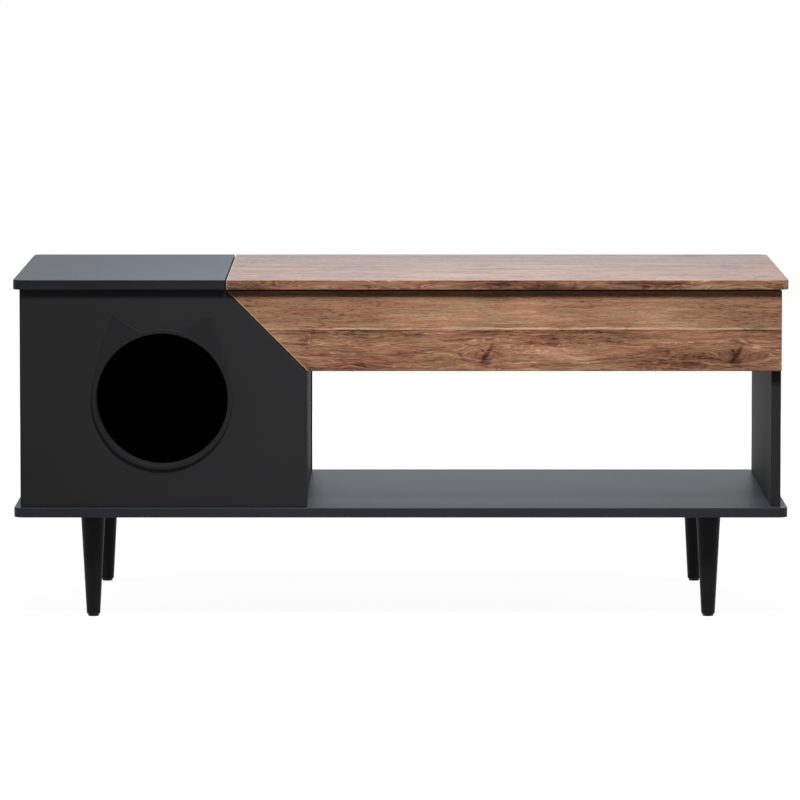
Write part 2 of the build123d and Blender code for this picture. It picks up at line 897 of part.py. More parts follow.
def main():
    os.makedirs("parts", exist_ok=True)
    for name, piece in build().items():
        piece.label = name
        export_step(piece, f"parts/{name}.step")
    print("least gap in a spring's wire", round(least_spring_gap(), 2), "mm")


main()
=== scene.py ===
import json
import math

import bpy
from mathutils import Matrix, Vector


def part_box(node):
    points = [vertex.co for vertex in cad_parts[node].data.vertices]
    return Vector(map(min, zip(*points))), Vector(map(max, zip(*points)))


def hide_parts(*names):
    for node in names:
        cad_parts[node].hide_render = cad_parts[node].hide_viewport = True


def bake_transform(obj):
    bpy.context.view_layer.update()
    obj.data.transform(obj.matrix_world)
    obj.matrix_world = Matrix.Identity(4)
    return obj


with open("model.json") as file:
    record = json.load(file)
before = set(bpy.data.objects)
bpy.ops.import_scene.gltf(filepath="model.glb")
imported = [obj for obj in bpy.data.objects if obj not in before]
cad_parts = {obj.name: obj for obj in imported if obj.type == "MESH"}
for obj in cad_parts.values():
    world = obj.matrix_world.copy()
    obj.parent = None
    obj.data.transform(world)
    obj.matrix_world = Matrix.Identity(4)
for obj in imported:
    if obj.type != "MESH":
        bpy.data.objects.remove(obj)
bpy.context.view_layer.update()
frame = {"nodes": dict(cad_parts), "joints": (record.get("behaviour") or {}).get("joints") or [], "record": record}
NODES = frame["nodes"]
RECORD = frame["record"]


def linear(value):
    """A screen value from 0 to 255 as a linear colour value."""
    share = value / 255.0
    return share / 12.92 if share <= 0.04045 else ((share + 0.055) / 1.055) ** 2.4


def colour(red, green, blue):
    return (linear(red), linear(green), linear(blue), 1.0)


def grey(value):
    """A grey from its linear value."""
    return (value, value, value, 1.0)


def toned(tint, share):
    """A colour made lighter or darker."""
    return tuple(value * share for value in tint[:3]) + (1.0,)


# The photograph's camera, in metres and degrees: a long lens far off, a little above the table
CAMERA_PLACE = (-0.0012, -10.034, 1.218)
CAMERA_DOWN = 5.13
CAMERA_REACH = 200.0
LENS = 284.2
SENSOR = 36.0

WHITE = (1.0, 1.0, 1.0)
WARM_WHITE = (1.0, 0.985, 0.965)
COOL_WHITE = (0.48, 0.74, 1.0)

# The lamps stand round this point, each as (name, direction from the front, elevation, distance, size, watts)
LAMP_TARGET = (0.15, -0.22, 0.38)
KEY_LAMP = ("key_lamp", 0.0, 55.0, 3.0, 0.75, 13.4)
KEY_SPREAD = 60.0
FILL_LAMPS = (
    ("rear_fill", 180.0, 10.0, 3.4, 1.6, 44.0),
    ("left_fill", -90.0, 28.0, 3.4, 1.6, 24.0),
    ("right_fill", 90.0, 28.0, 3.4, 1.6, 24.0),
)
GLOW_LAMP = ("rear_glow", 180.0, 32.0, 3.4, 2.0, 17.0)

# The floor: what it throws back, and what the camera sees of it, from under the table outwards
FLOOR_RADIUS = 90.0
FLOOR_SIDES = 64
FLOOR_BOUNCE = 0.11
FLOOR_GLOW = 0.945
FLOOR_SHADE = 0.16
SHADE_NEAR = 0.9
SHADE_FAR = 3.0
SKY_LIGHT = 0.11

# Places on the boards that the wood print lines up with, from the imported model
APRON_LOW, APRON_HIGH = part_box("front_apron")
LID_LOW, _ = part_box("lift_top_panel")

# A face is flat or an end from this share of its direction on
FLAT_FACING = 0.7
END_FACING = 0.75

# The wood print: planks along the boards, with a knot that comes back at every repeat
PLANK_WIDTH = 0.120
PLANK_STEP = 3.7
APRON_JOINT_UP = 0.0647
APRON_JOINT = APRON_LOW.z + APRON_JOINT_UP
TOP_JOINT = 0.064
PRINT_REPEAT = 0.387
KNOT_ALONG = 0.1327
KNOT_ACROSS = 0.0806
KNOT_STAGGER = 0.17

# How the grain bends round a knot: its radius, its reach along the grain, and its stiff middle
KNOT_RADIUS = 0.009
KNOT_STRETCH = 0.42
KNOT_MIDDLE = 0.3

# Noises over a board's face, as (scale along, scale across, detail)
SWAY = (9.0, 26.0, 2.0)
FLUTTER = (34.0, 60.0, 2.0)
CLOUDS = (6.0, 22.0, 3.0)
HUE = (12.0, 46.0, 3.0)
CLOUD_LAYER = 21.0
HUE_LAYER = 33.0

# Noises along the bent grain, as (scale along, scale across, detail, layer)
BROAD = (3.0, 40.0, 3.0, 0.0)
STREAKS = (11.0, 210.0, 5.0, 5.0)
FIGURE = (4.5, 42.0, 2.0, 9.0)
PORES = (70.0, 620.0, 2.0, 13.0)
DASHES = (15.0, 300.0, 3.0, 17.0)
FINE = (150.0, 950.0, 2.0, 27.0)
GRAIN_ROUGHNESS = 0.65
FIGURE_BEND = 0.5
RINGS = 105.0
PORE_LIMITS = (0.54, 0.66)
DASH_LIMITS = (0.58, 0.68)

# How much each one shows, on calm planks and on lively ones
SWAY_SHARE = (0.007, 0.021)
FLUTTER_SHARE = (0.002, 0.005)
BROAD_SHARE = (0.30, 0.55)
STREAK_SHARE = (0.80, 1.20)
RING_SHARE = (0.030, 0.085)
PORE_SHARE = (0.34, 0.26)
WISP_SHARE = (0.08, 0.34)
BESIDE_SHARE = (0.03, 0.14)
DASH_SHARE = 0.22

# The plain tone, on even planks and flat faces, and on odd upright planks
PLANK_TONE = (0.62, 0.53)
# The finest grain, on upright faces and on flat ones, which are darker too
FINE_SHARE = (0.42, 0.20)
FLAT_DROP = 0.13
# On the boards' faces, and on the walnut top's edge
CLOUD_SHARE = (0.60, 1.30)
LID_EDGE_TONE = (0.05, -0.16)

# How much pores and dashes show, as (pale cloud, dark cloud, share where pale, share where dark)
PORE_CLOUDS = (0.58, 0.40, 0.45, 1.05)

# Pale wavy lines, as bands of the figure, with a darker line beside each
WISP_BANDS = 11.0
WISP_WIDTH = 0.060
WISP_CLOUDS = (0.40, 0.58)
BESIDE_START = (0.06, 0.09)
BESIDE_END = (0.12, 0.17)

# The knot's two arms, as (lean, above its middle, half width, half height)
KNOT_ARMS = (
    (0.60, 0.003, 0.0038, 0.0135),
    (-0.90, 0.004, 0.0022, 0.0060),
)
# What lies round each knot, as (right of it, above it, half length, half height)
KNOT_SMUDGE = (-0.002, -0.009, 0.0105, 0.0125)
KNOT_HALO = (0.0, -0.004, 0.040, 0.015)
# Pale and dark patches round each knot, as the rows above with a tone
PATCHES = (
    (0.031, 0.013, 0.0075, 0.0035, 0.24),
    (-0.020, 0.020, 0.0100, 0.0045, 0.16),
    (0.104, 0.020, 0.0120, 0.0060, -0.22),
    (-0.060, -0.008, 0.0300, 0.0090, -0.10),
)
# Where each starts to fade and is gone, in its oval's own measure, and how dark it is
RIM_ROUGHNESS = 1.6
KNOT_FADE = (0.0, 2.0)
SMUDGE_FADE = (0.0, 1.5)
PATCH_FADE = (0.2, 1.5)
HALO_FADE = (0.1, 1.0)
HALO_RINGS = (-0.2, 0.9)
KNOT_DARK = 0.34
SMUDGE_DARK = 0.26
HALO_DARK = 0.17

# The pale line at each plank's joint, and the dark rim on the other side of it
JOINT_LINE = 0.0028
JOINT_SOFT = (0.85, 1.2)
JOINT_WAVER = 0.0035
JOINT_STREAKS = (0.35, 0.6)
JOINT_PALE = (0.18, 0.36)
JOINT_RIM = 0.010
RIM_DARK = 0.16

# The print's colours by tone, and its drift to green and to red
WOOD_TONES = (
    (0.0, colour(58, 38, 30)),
    (0.22, colour(96, 66, 51)),
    (0.42, colour(134, 95, 74)),
    (0.62, colour(160, 119, 92)),
    (0.84, colour(186, 146, 116)),
    (1.0, colour(210, 176, 146)),
)
HUE_TONES = (
    (0.36, (0.90, 0.98, 0.93, 1.0)),
    (0.50, (1.0, 1.0, 1.0, 1.0)),
    (0.64, (1.06, 0.97, 0.98, 1.0)),
)
HUE_PLANK = (1.0, 0.955, 0.96, 1.0)

# The pale line where the print ends at the slanted end and beside the black top
EDGE_LINE = 0.0018
EDGE_SOFT = 0.6
EDGE_SHARE = 0.6
EDGE_CREAM = colour(196, 168, 142)
# The greyer rear of the walnut top, and a painted highlight on the rounded arrises
REAR_FADE = 0.05
REAR_SHARE = 0.22
REAR_GREY = colour(112, 104, 104)
ARRIS_FACING = (0.80, 0.96)
ARRIS_HIGHLIGHT_SHARE = 0.40
ARRIS_HIGHLIGHT_TINT = colour(205, 175, 150)
WOOD_ROUGHNESS = 0.30
PORE_ROUGHNESS = 0.12
WOOD_SPECULAR = 0.10
STREAK_HEIGHT = 0.5

# Scales of the fine textures, and the depths of their bumps in metres
LAMINATE_CLOUD = 7.0
LAMINATE_PRESS = 900.0
LACQUER_GRAIN = (420.0, 420.0, 14.0)
PLASTIC_SPARK = 1400.0
PLASTIC_DRIFT = 30.0
STEEL_MARKS = 900.0
STEEL_STAIN = 45.0
COAT_PEEL = 650.0
BEECH_FLECK = 700.0
BEECH_GRAIN = 160.0
WOOD_DEPTH = 0.00012
LAMINATE_DEPTH = 0.00006
LACQUER_DEPTH = 0.00008
PLASTIC_DEPTH = 0.00005
STEEL_DEPTH = 0.00004
COAT_DEPTH = 0.00015
BEECH_DEPTH = 0.0001

# The torsion springs: a hook round the front arm, a leg along it, the turns, and a leg to the anchor stud
WIRE_RADIUS = 0.0011
WIRE_SIDES = 12
SPRING_RADIUS = 0.0103
SPRING_PITCH = 0.0028
SPRING_TURNS = 4
SPRING_LEG = 0.024
SPRING_BEND = 0.0025
SPRING_HOOK = 0.0026
ANCHOR_LEG = 0.029
ARM_ANGLE = 8.0
STEPS_A_TURN = 28
BEND_STEPS = 5


class Nodes:
    """A node tree, and short ways to add nodes to it."""

    def __init__(self, tree):
        self.tree = tree
        self.tree.nodes.clear()

    def node(self, kind, **settings):
        made = self.tree.nodes.new("ShaderNode" + kind)
        for name, value in settings.items():
            setattr(made, name, value)
        return made

    def put(self, socket, value):
        """Links a socket to a value of another node, or sets it."""
        if isinstance(value, bpy.types.NodeSocket):
            self.tree.links.new(value, socket)
        else:
            socket.default_value = value

    def math(self, operation, a, b=0.0, c=0.0):
        made = self.node("Math", operation=operation)
        for socket, value in zip(made.inputs, (a, b, c)):
            self.put(socket, value)
        return made.outputs[0]

    def plus(self, a, b):
        return self.math("ADD", a, b)

    def minus(self, a, b):
        return self.math("SUBTRACT", a, b)

    def times(self, a, b):
        return self.math("MULTIPLY", a, b)

    def over(self, a, b):
        return self.math("DIVIDE", a, b)

    def squared(self, a):
        return self.math("POWER", a, 2.0)

    def most(self, a, b):
        return self.math("MAXIMUM", a, b)

    def mix(self, share, a, b):
        """A number between a and b."""
        made = self.node("Mix", data_type="FLOAT")
        self.put(made.inputs["Factor"], share)
        self.put(made.inputs["A"], a)
        self.put(made.inputs["B"], b)
        return made.outputs["Result"]

    def seen(self):
        """1 for a ray from the camera, off gloss or through glass, and 0 for the light's other rays."""
        path = self.node("LightPath")
        straight = self.most(path.outputs["Is Camera Ray"], path.outputs["Is Glossy Ray"])
        return self.most(straight, path.outputs["Is Transmission Ray"])


class Shade(Nodes):
    """A material, and short ways to build its look."""

    def __init__(self, name):
        self.material = bpy.data.materials.new(name)
        self.material.use_nodes = True
        super().__init__(self.material.node_tree)
        self.output = self.node("OutputMaterial")

    def blend(self, share, a, b, kind="MIX"):
        """A colour between a and b."""
        made = self.node("Mix", data_type="RGBA", blend_type=kind)
        self.put(made.inputs[0], share)
        self.put(made.inputs[6], a)
        self.put(made.inputs[7], b)
        return made.outputs[2]

    def step(self, value, low, high, out_low=0.0, out_high=1.0):
        """A smooth step as value goes from low to high."""
        made = self.node("MapRange", interpolation_type="SMOOTHSTEP")
        for name, number in zip(
            ("Value", "From Min", "From Max", "To Min", "To Max"), (value, low, high, out_low, out_high)
        ):
            self.put(made.inputs[name], number)
        return made.outputs[0]

    def fade(self, value, low, high):
        """A smooth step from 1 down to 0."""
        return self.step(value, low, high, 1.0, 0.0)

    def spread(self, value, share):
        """A value from 0 to 1 as so much more or less than nothing."""
        return self.times(self.minus(value, 0.5), share)

    def varied(self, middle, value, share):
        """A number with a value from 0 to 1 as its change, share from end to end."""
        return self.plus(middle - share / 2, self.times(value, share))

    def oval(self, dx, dy, half_long, half_high):
        """How far out a point lies in an oval, squared: 1 is its rim."""
        return self.plus(self.squared(self.over(dx, half_long)), self.squared(self.over(dy, half_high)))

    def vector(self, x, y, z):
        made = self.node("CombineXYZ")
        for socket, value in zip(made.inputs, (x, y, z)):
            self.put(socket, value)
        return made.outputs[0]

    def noise(self, place, scale=1.0, detail=2.0, roughness=0.5, distortion=0.0):
        made = self.node("TexNoise")
        self.put(made.inputs["Vector"], place)
        for name, value in zip(
            ("Scale", "Detail", "Roughness", "Distortion"), (scale, detail, roughness, distortion)
        ):
            self.put(made.inputs[name], value)
        return made.outputs["Fac"]

    def ramp(self, value, stops):
        """Colours along a value, each stop as (place, colour)."""
        made = self.node("ValToRGB")
        points = made.color_ramp.elements
        while len(points) < len(stops):
            points.new(1.0)
        for point, (place, tint) in zip(points, stops):
            point.position = place
            point.color = tint
        self.put(made.inputs[0], value)
        return made.outputs[0]

    def bump(self, height, distance):
        made = self.node("Bump")
        self.put(made.inputs["Height"], height)
        self.put(made.inputs["Distance"], distance)
        return made.outputs["Normal"]

    def finish(self, base, roughness, specular=0.5, metallic=0.0, normal=None):
        shader = self.node("BsdfPrincipled")
        self.put(shader.inputs["Base Color"], base)
        self.put(shader.inputs["Roughness"], roughness)
        self.put(shader.inputs["Specular IOR Level"], specular)
        self.put(shader.inputs["Metallic"], metallic)
        if normal is not None:
            self.put(shader.inputs["Normal"], normal)
        self.put(self.output.inputs[0], shader.outputs[0])
        return self.material

    def place(self):
        """A point in the piece's own frame."""
        return self.node("TexCoord").outputs["Object"]

    def apart(self, vector):
        """X, Y and Z of a vector."""
        made = self.node("SeparateXYZ")
        self.put(made.inputs[0], vector)
        return tuple(made.outputs)

    def stretched(self, place, scales):
        """A place with a scale of its own along X, Y and Z."""
        return self.vector(*(self.times(axis, scale) for axis, scale in zip(self.apart(place), scales)))

    def facing(self):
        """How far the surface faces along X, Y and Z, without the sign."""
        return [self.math("ABSOLUTE", v) for v in self.apart(self.node("TexCoord").outputs["Normal"])]


# Materials

class Walnut(Shade):
    """Printed wood: planks with long grain, short pores, pale wavy lines and a forked knot that repeats."""

    def __init__(self):
        super().__init__("walnut_print")
        self.x, self.y, self.z = self.apart(self.place())
        self.facing_x, self.facing_y, self.facing_z = self.facing()
        self.find_plank()
        self.find_knot()
        self.flutter = self.drift(*FLUTTER, self.number)
        self.flow = self.bent_grain()
        self.clouds = self.drift(*CLOUDS, CLOUD_LAYER)
        self.streaks = self.grain(*STREAKS)
        self.figure = self.grain(*FIGURE, FIGURE_BEND)
        self.rings = self.math("SINE", self.times(self.figure, RINGS))
        self.pores = self.step(self.grain(*PORES), *PORE_LIMITS)
        self.rough_rim = self.spread(self.streaks, RIM_ROUGHNESS)

    def find_plank(self):
        """Where a point lies along the boards and in its plank, and which kind of plank that is."""
        self.flat = self.math("GREATER_THAN", self.facing_z, FLAT_FACING)
        end = self.math("GREATER_THAN", self.facing_x, END_FACING)
        self.along = self.mix(end, self.x, self.y)
        self.across = self.mix(self.flat, self.minus(self.z, APRON_JOINT), self.minus(self.y, TOP_JOINT))
        self.number = self.math("FLOOR", self.over(self.across, PLANK_WIDTH))
        self.inside = self.minus(self.across, self.times(self.number, PLANK_WIDTH))
        self.odd = self.math("ABSOLUTE", self.math("MODULO", self.number, 2.0))
        self.odd_upright = self.times(self.odd, self.minus(1.0, self.flat))
        self.lid_edge = self.math("GREATER_THAN", self.minus(self.z, self.flat), LID_LOW.z)
        self.lively = self.most(self.odd, self.lid_edge)

    def find_knot(self):
        """Where a point lies from the nearest knot of its plank."""
        knot_place = self.plus(KNOT_ALONG, self.times(self.plus(self.number, 1.0), KNOT_STAGGER))
        half_repeat = PRINT_REPEAT / 2
        self.from_knot = self.math("WRAP", self.minus(self.along, knot_place), half_repeat, -half_repeat)
        self.above_knot = self.minus(self.inside, KNOT_ACROSS)

    def livelier(self, shares):
        """The first share on calm planks, and the second on lively ones."""
        return self.mix(self.lively, *shares)

    def drift(self, length_scale, width_scale, detail, layer):
        """A noise over the board's face."""
        place = self.vector(self.times(self.along, length_scale), self.times(self.across, width_scale), layer)
        return self.noise(place, detail=detail)

    def grain(self, length_scale, width_scale, detail, layer, distortion=0.0):
        """A noise along the bent grain, other in each plank."""
        place = self.vector(
            self.times(self.along, length_scale),
            self.times(self.flow, width_scale),
            self.plus(self.times(self.number, PLANK_STEP), layer),
        )
        return self.noise(place, detail=detail, roughness=GRAIN_ROUGHNESS, distortion=distortion)

    def bent_grain(self):
        """The place across the grain, which sways, and bends round the knots of odd planks."""
        reach = self.squared(self.times(self.from_knot, KNOT_STRETCH))
        near = self.plus(reach, self.plus(self.squared(self.above_knot), KNOT_RADIUS ** 2 * KNOT_MIDDLE))
        push = self.times(self.over(KNOT_RADIUS ** 2, near), self.odd)
        flow = self.minus(self.inside, self.times(self.above_knot, push))
        sway = self.drift(*SWAY, self.number)
        flow = self.plus(flow, self.spread(sway, self.livelier(SWAY_SHARE)))
        return self.plus(flow, self.spread(self.flutter, self.livelier(FLUTTER_SHARE)))

    def grain_tone(self):
        """The tone without wisps, knots and joints: 0 is the darkest and 1 the palest."""
        tone = self.mix(self.odd_upright, *PLANK_TONE)
        tone = self.plus(tone, self.spread(self.grain(*BROAD), self.livelier(BROAD_SHARE)))
        tone = self.plus(tone, self.spread(self.streaks, self.livelier(STREAK_SHARE)))
        tone = self.plus(tone, self.spread(self.grain(*FINE), self.mix(self.flat, *FINE_SHARE)))
        tone = self.plus(tone, self.spread(self.clouds, self.mix(self.lid_edge, *CLOUD_SHARE)))
        tone = self.plus(tone, self.mix(self.lid_edge, *LID_EDGE_TONE))
        tone = self.minus(tone, self.times(self.flat, FLAT_DROP))
        tone = self.plus(tone, self.times(self.rings, self.livelier(RING_SHARE)))
        patchy = self.step(self.clouds, *PORE_CLOUDS)
        dashes = self.step(self.grain(*DASHES), *DASH_LIMITS)
        tone = self.minus(tone, self.times(self.times(self.pores, patchy), self.livelier(PORE_SHARE)))
        return self.minus(tone, self.times(self.times(dashes, patchy), DASH_SHARE))

    def with_wisps(self, tone):
        """The tone with pale wavy lines, and a darker line beside each."""
        bands = self.math("FRACT", self.times(self.figure, WISP_BANDS))
        ripple = self.math("ABSOLUTE", self.spread(bands, 1.0))
        wisp = self.times(self.fade(ripple, 0.0, WISP_WIDTH), self.step(self.clouds, *WISP_CLOUDS))
        tone = self.plus(tone, self.times(wisp, self.livelier(WISP_SHARE)))
        beside = self.times(self.step(ripple, *BESIDE_START), self.fade(ripple, *BESIDE_END))
        return self.minus(tone, self.times(beside, self.livelier(BESIDE_SHARE)))

    def arm(self, lean, above, half_long, half_high):
        """How far out a point lies in an arm of the knot's fork."""
        straight = self.minus(self.from_knot, self.times(self.above_knot, lean))
        return self.oval(straight, self.minus(self.above_knot, above), half_long, half_high)

    def spot(self, right, above, half_long, half_high):
        """How far out a point lies in an oval near the knot."""
        dx = self.minus(self.from_knot, right)
        return self.oval(dx, self.minus(self.above_knot, above), half_long, half_high)

    def mark(self, reach, fade):
        """1 within an arm or a spot and 0 outside, with a rough rim, on odd planks."""
        return self.times(self.fade(self.plus(reach, self.rough_rim), *fade), self.odd)

    def with_knots(self, tone):
        """The tone with the forked knots, and the smudge, the rings and the patches round each."""
        fork, twig = (self.arm(*row) for row in KNOT_ARMS)
        knot = self.mark(self.math("MINIMUM", fork, twig), KNOT_FADE)
        smudge = self.mark(self.spot(*KNOT_SMUDGE), SMUDGE_FADE)
        halo = self.times(self.fade(self.spot(*KNOT_HALO), *HALO_FADE), self.odd)
        whiskers = self.times(halo, self.step(self.rings, *HALO_RINGS))
        for shape, dark in ((whiskers, HALO_DARK), (knot, KNOT_DARK), (smudge, SMUDGE_DARK)):
            tone = self.minus(tone, self.times(shape, dark))
        for *row, lift in PATCHES:
            tone = self.plus(tone, self.times(self.mark(self.spot(*row), PATCH_FADE), lift))
        return tone

    def with_joints(self, tone):
        """The tone with the joints between planks."""
        joint = self.plus(self.inside, self.spread(self.flutter, JOINT_WAVER))
        pale = self.fade(joint, *(JOINT_LINE * share for share in JOINT_SOFT))
        dark = self.step(self.inside, PLANK_WIDTH - JOINT_RIM, PLANK_WIDTH)
        tone = self.plus(tone, self.times(pale, self.step(self.streaks, *JOINT_STREAKS, *JOINT_PALE)))
        return self.minus(tone, self.times(dark, RIM_DARK))

    def tinted(self, tone):
        """The print's colour for a tone."""
        base = self.ramp(tone, WOOD_TONES)
        tints = self.ramp(self.drift(*HUE, HUE_LAYER), HUE_TONES)
        base = self.blend(1.0, base, tints, "MULTIPLY")
        return self.blend(self.odd_upright, base, self.blend(1.0, base, HUE_PLANK, "MULTIPLY"))

    def with_edges(self, base):
        """The colour with the line where the print ends, the greyer rear of the top and a painted highlight on the
        arrises.
        """
        on_lid = self.math("GREATER_THAN", self.z, LID_LOW.z - EDGE_LINE)
        past_slant = self.minus(self.plus(self.x, self.z), APRON_LOW.x + APRON_HIGH.z)
        from_slant = self.over(past_slant, math.sqrt(2.0))
        from_end = self.mix(on_lid, from_slant, self.minus(self.x, LID_LOW.x))
        edge_line = self.fade(from_end, EDGE_LINE * EDGE_SOFT, EDGE_LINE)
        base = self.blend(self.times(edge_line, EDGE_SHARE), base, EDGE_CREAM)
        rear = self.times(self.flat, self.step(self.y, TOP_JOINT - REAR_FADE, TOP_JOINT + REAR_FADE))
        base = self.blend(self.times(rear, REAR_SHARE), base, REAR_GREY)
        # Rounded arrises, which face no axis squarely, get a pale painted highlight
        biggest = self.most(self.most(self.facing_x, self.facing_y), self.facing_z)
        arris_highlight = self.fade(biggest, *ARRIS_FACING)
        return self.blend(self.times(arris_highlight, ARRIS_HIGHLIGHT_SHARE), base, ARRIS_HIGHLIGHT_TINT)

    def make(self):
        tone = self.with_joints(self.with_knots(self.with_wisps(self.grain_tone())))
        base = self.with_edges(self.tinted(tone))
        roughness = self.plus(WOOD_ROUGHNESS, self.times(self.pores, PORE_ROUGHNESS))
        height = self.minus(self.times(self.streaks, STREAK_HEIGHT), self.pores)
        return self.finish(base, roughness, specular=WOOD_SPECULAR, normal=self.bump(height, WOOD_DEPTH))


def make_laminate(name, base, roughness, specular):
    """Charcoal laminate with a faint pressed texture."""
    s = Shade(name)
    place = s.place()
    cloud = s.noise(place, scale=LAMINATE_CLOUD, detail=3.0)
    press = s.noise(place, scale=LAMINATE_PRESS, detail=2.0)
    tint = s.blend(s.step(cloud, 0.3, 0.7), base, toned(base, 1.12))
    rough = s.varied(roughness, press, 0.08)
    return s.finish(tint, rough, specular=specular, normal=s.bump(press, LAMINATE_DEPTH))


def make_lacquer():
    """Black lacquered wood, with the grain just to be seen along the leg."""
    s = Shade("leg_lacquer")
    grain = s.noise(s.stretched(s.place(), LACQUER_GRAIN), detail=3.0)
    tint = s.blend(s.step(grain, 0.35, 0.65), colour(19, 19, 21), colour(25, 25, 27))
    rough = s.step(grain, 0.2, 0.8, 0.46, 0.56)
    return s.finish(tint, rough, specular=0.10, normal=s.bump(grain, LACQUER_DEPTH))


def make_plastic(name, base, roughness, specular=0.3):
    """Moulded plastic with a fine spark texture."""
    s = Shade(name)
    place = s.place()
    spark = s.noise(place, scale=PLASTIC_SPARK, detail=1.0)
    drift = s.noise(place, scale=PLASTIC_DRIFT, detail=2.0)
    tint = s.blend(drift, toned(base, 0.93), toned(base, 1.07))
    rough = s.varied(roughness, spark, 0.10)
    return s.finish(tint, rough, specular=specular, normal=s.bump(spark, PLASTIC_DEPTH))


def make_steel(name, base, roughness, draw=(1.0, 1.0, 1.0)):
    """Plain or plated steel with fine drawing marks, longer along one axis."""
    s = Shade(name)
    place = s.place()
    marks = s.noise(s.stretched(place, [STEEL_MARKS * share for share in draw]), detail=3.0)
    stain = s.noise(place, scale=STEEL_STAIN, detail=3.0)
    tint = s.blend(s.step(stain, 0.35, 0.7), base, toned(base, 0.82))
    rough = s.varied(roughness, marks, 0.12)
    return s.finish(tint, rough, metallic=1.0, normal=s.bump(marks, STEEL_DEPTH))


def make_coating():
    """Black powder coat on pressed steel, with its orange-peel surface."""
    s = Shade("powder_coat")
    peel = s.noise(s.place(), scale=COAT_PEEL, detail=2.0)
    tint = s.blend(peel, colour(26, 26, 28), colour(36, 36, 38))
    rough = s.step(peel, 0.2, 0.8, 0.38, 0.50)
    return s.finish(tint, rough, specular=0.4, normal=s.bump(peel, COAT_DEPTH))


def make_beech():
    """Turned beech dowel, with small darker flecks."""
    s = Shade("beech_dowel")
    place = s.place()
    fleck = s.noise(place, scale=BEECH_FLECK, detail=2.0)
    grain = s.noise(place, scale=BEECH_GRAIN, detail=3.0)
    tint = s.blend(grain, colour(214, 180, 136), colour(190, 150, 104))
    tint = s.blend(s.times(s.step(fleck, 0.6, 0.75), 0.5), tint, colour(140, 100, 66))
    return s.finish(tint, 0.62, specular=0.3, normal=s.bump(grain, BEECH_DEPTH))


def dress():
    """Gives each CAD node its material, and returns the materials by slot."""
    walnut = Walnut().make()
    # The top and shelf copies of one charcoal laminate are bluer than the side copy, and the shelf copy is lighter
    # too: painted sheen of the light on the flat tops, beside their own roughness and specular
    top_laminate = make_laminate("charcoal_top", colour(35, 38, 43), 0.40, 0.09)
    shelf_laminate = make_laminate("charcoal_shelf", colour(45, 48, 55), 0.40, 0.10)
    side_laminate = make_laminate("charcoal_side", colour(41, 40, 42), 0.66, 0.12)
    by_slot = {
        "charcoal_laminate": side_laminate,
        "walnut_laminate": walnut,
        "black_lacquer": make_lacquer(),
        "black_plastic": make_plastic("entrance_plastic", colour(37, 37, 39), 0.60, 0.10),
        "foot_plastic": make_plastic("foot_plastic", colour(22, 22, 22), 0.6),
        "beech": make_beech(),
        "bumper_rubber": make_plastic("bumper_rubber", colour(30, 30, 30), 0.8, 0.2),
        "zinc_steel": make_steel("zinc_plate", colour(196, 198, 202), 0.38),
        "pivot_steel": make_steel("pivot_steel", colour(172, 173, 176), 0.30, draw=(0.1, 1.0, 1.0)),
        "coated_steel": make_coating(),
        "spring_steel": make_steel("spring_wire", colour(150, 151, 155), 0.34),
    }
    # The house top and the shelf take the copies with painted sheen in their colour
    finish_and_painted_sheen = {"house_top": top_laminate, "bottom_shelf": shelf_laminate}
    for part in RECORD["subparts"]:
        piece = NODES[part["node"]]
        material = finish_and_painted_sheen.get(part["node"], by_slot[part["material_slot"]])
        piece.data.materials.clear()
        piece.data.materials.append(material)
    return by_slot


# Springs

def spring_line():
    """Points along a wire wound from the arm's side: X from the first turn, Y and Z from the pivot."""
    first = math.radians(ARM_ANGLE - 90.0)
    whole = first + 2 * math.pi * (SPRING_TURNS + 1)
    rise = SPRING_PITCH / (2 * math.pi)

    def on_turn(angle):
        turn = first - angle
        return Vector((rise * angle, SPRING_RADIUS * math.cos(turn), SPRING_RADIUS * math.sin(turn)))

    def heading(angle):
        turn = first - angle
        return Vector((rise / SPRING_RADIUS, math.sin(turn), -math.cos(turn))).normalized()

    away = -heading(0.0)
    leg_end = on_turn(0.0) + away * SPRING_LEG
    to_wall = Vector((-1.0, 0.0, 0.0))
    centre = leg_end + to_wall * SPRING_BEND
    bend = [
        centre + (away * math.sin(t) - to_wall * math.cos(t)) * SPRING_BEND
        for t in (math.pi / 2 * i / BEND_STEPS for i in range(BEND_STEPS + 1))
    ]
    steps = round(STEPS_A_TURN * whole / (2 * math.pi))
    turns = [on_turn(whole * i / steps) for i in range(steps + 1)]
    points = [bend[-1] + to_wall * SPRING_HOOK, *reversed(bend), *turns]
    return points + [turns[-1] + heading(whole) * ANCHOR_LEG]


def tube(points, radius, sides):
    """A round tube along points, closed at both ends, as corners and faces."""
    corners, faces = [], []
    side = Vector((0.0, 0.0, 1.0))
    for i, point in enumerate(points):
        before, after = points[max(i - 1, 0)], points[min(i + 1, len(points) - 1)]
        heading = (after - before).normalized()
        side = (side - heading * side.dot(heading)).normalized()
        other = heading.cross(side)
        for j in range(sides):
            turn = 2 * math.pi * j / sides
            corners.append(point + (side * math.cos(turn) + other * math.sin(turn)) * radius)
    for i in range(len(points) - 1):
        for j in range(sides):
            a, b = i * sides + j, i * sides + (j + 1) % sides
            faces.append((a, b, b + sides, a + sides))
    last = len(corners) - sides
    faces.append(tuple(reversed(range(sides))))
    faces.append(tuple(range(last, last + sides)))
    return corners, faces


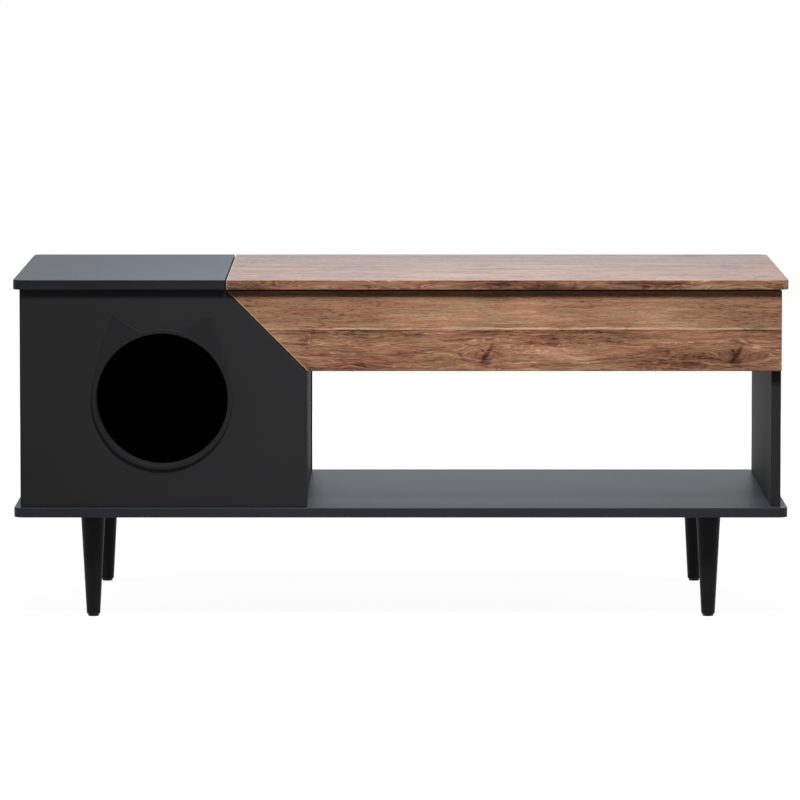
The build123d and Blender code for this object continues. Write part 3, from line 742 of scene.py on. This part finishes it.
def make_springs(steel):
    """The springs' wire between the arm and the anchor, built in place of the hidden CAD springs."""
    pivot = next(Vector(j["pos_m"]) for j in frame["joints"] if j["name"] == "lift_fold")
    line = spring_line()
    reach = min(p.x for p in line)
    for side, inward in (("left", 1.0), ("right", -1.0)):
        node = f"{side}_torsion_spring"
        low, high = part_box(node)
        wall = low.x if inward > 0 else high.x
        points = [Vector((wall + inward * (p.x - reach), pivot.y + p.y, pivot.z + p.z)) for p in line]
        corners, faces = tube(points, WIRE_RADIUS, WIRE_SIDES)
        if inward < 0:
            faces = [tuple(reversed(f)) for f in faces]
        mesh = bpy.data.meshes.new(f"{side}_spring_wire")
        mesh.from_pydata(corners, [], faces)
        mesh.shade_smooth()
        mesh.materials.append(steel)
        piece = bpy.data.objects.new(f"{side}_spring_wire", mesh)
        bpy.context.scene.collection.objects.link(piece)
        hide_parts(node)
        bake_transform(piece)


# Studio

def make_lamp(name, direction, elevation, distance, size, watts, tint=WHITE, spread=180.0):
    """A round soft lamp that shines at the table, and that the camera doesn't see."""
    turn, rise = math.radians(direction), math.radians(elevation)
    towards = Vector((math.sin(turn) * math.cos(rise), -math.cos(turn) * math.cos(rise), math.sin(rise)))
    data = bpy.data.lights.new(name, "AREA")
    data.shape = "DISK"
    data.size = size
    data.energy = watts
    data.color = tint
    data.spread = math.radians(spread)
    lamp = bpy.data.objects.new(name, data)
    lamp.location = Vector(LAMP_TARGET) + towards * distance
    lamp.rotation_euler = (-towards).to_track_quat("-Z", "Y").to_euler()
    lamp.visible_camera = False
    bpy.context.scene.collection.objects.link(lamp)
    return lamp


def make_lamps():
    """A key lamp above the front, fill lamps at the back and the ends, and a cool glow on the tops."""
    make_lamp(*KEY_LAMP, WARM_WHITE, spread=KEY_SPREAD)
    for row in FILL_LAMPS:
        fill = make_lamp(*row)
        fill.visible_glossy = False
    glow = make_lamp(*GLOW_LAMP, COOL_WHITE)
    glow.visible_diffuse = False


def make_floor():
    """A plain pale floor, white to the camera but for the table's own shadow."""
    s = Shade("studio_floor")
    bounce = s.node("BsdfDiffuse")
    s.put(bounce.inputs["Color"], grey(FLOOR_BOUNCE))
    x, y, _ = s.apart(s.place())
    away = s.math("SQRT", s.plus(s.squared(x), s.squared(y)))
    shade = s.node("BsdfDiffuse")
    s.put(shade.inputs["Color"], grey(FLOOR_SHADE))
    glow = s.node("Emission")
    s.put(glow.inputs["Strength"], s.step(away, SHADE_NEAR, SHADE_FAR, FLOOR_GLOW, 1.0))
    pale = s.node("AddShader")
    s.put(pale.inputs[0], shade.outputs[0])
    s.put(pale.inputs[1], glow.outputs[0])
    both = s.node("MixShader")
    s.put(both.inputs[0], s.seen())
    s.put(both.inputs[1], bounce.outputs[0])
    s.put(both.inputs[2], pale.outputs[0])
    s.put(s.output.inputs[0], both.outputs[0])

    turns = [2 * math.pi * i / FLOOR_SIDES for i in range(FLOOR_SIDES)]
    corners = [(FLOOR_RADIUS * math.cos(t), FLOOR_RADIUS * math.sin(t), 0.0) for t in turns]
    mesh = bpy.data.meshes.new("studio_floor")
    mesh.from_pydata(corners, [], [tuple(range(FLOOR_SIDES))])
    mesh.materials.append(s.material)
    floor = bpy.data.objects.new("studio_floor", mesh)
    bpy.context.scene.collection.objects.link(floor)


def make_world():
    """A soft sky for the light, and plain white where it is seen."""
    world = bpy.data.worlds.new("studio_sky")
    world.use_nodes = True
    nodes = Nodes(world.node_tree)
    sky = nodes.node("Background")
    nodes.put(sky.inputs["Strength"], nodes.mix(nodes.seen(), SKY_LIGHT, 1.0))
    nodes.put(nodes.node("OutputWorld").inputs[0], sky.outputs[0])
    bpy.context.scene.world = world


def make_camera():
    data = bpy.data.cameras.new("camera")
    data.lens = LENS
    data.sensor_width = SENSOR
    data.clip_end = CAMERA_REACH
    camera = bpy.data.objects.new("camera", data)
    camera.location = CAMERA_PLACE
    camera.rotation_euler = (math.radians(90.0 - CAMERA_DOWN), 0.0, 0.0)
    bpy.context.scene.collection.objects.link(camera)
    bpy.context.scene.camera = camera


make_camera()
make_lamps()
make_floor()
make_world()
finishes = dress()
make_springs(finishes["spring_steel"])

bpy.context.scene.view_settings.view_transform = "Standard"
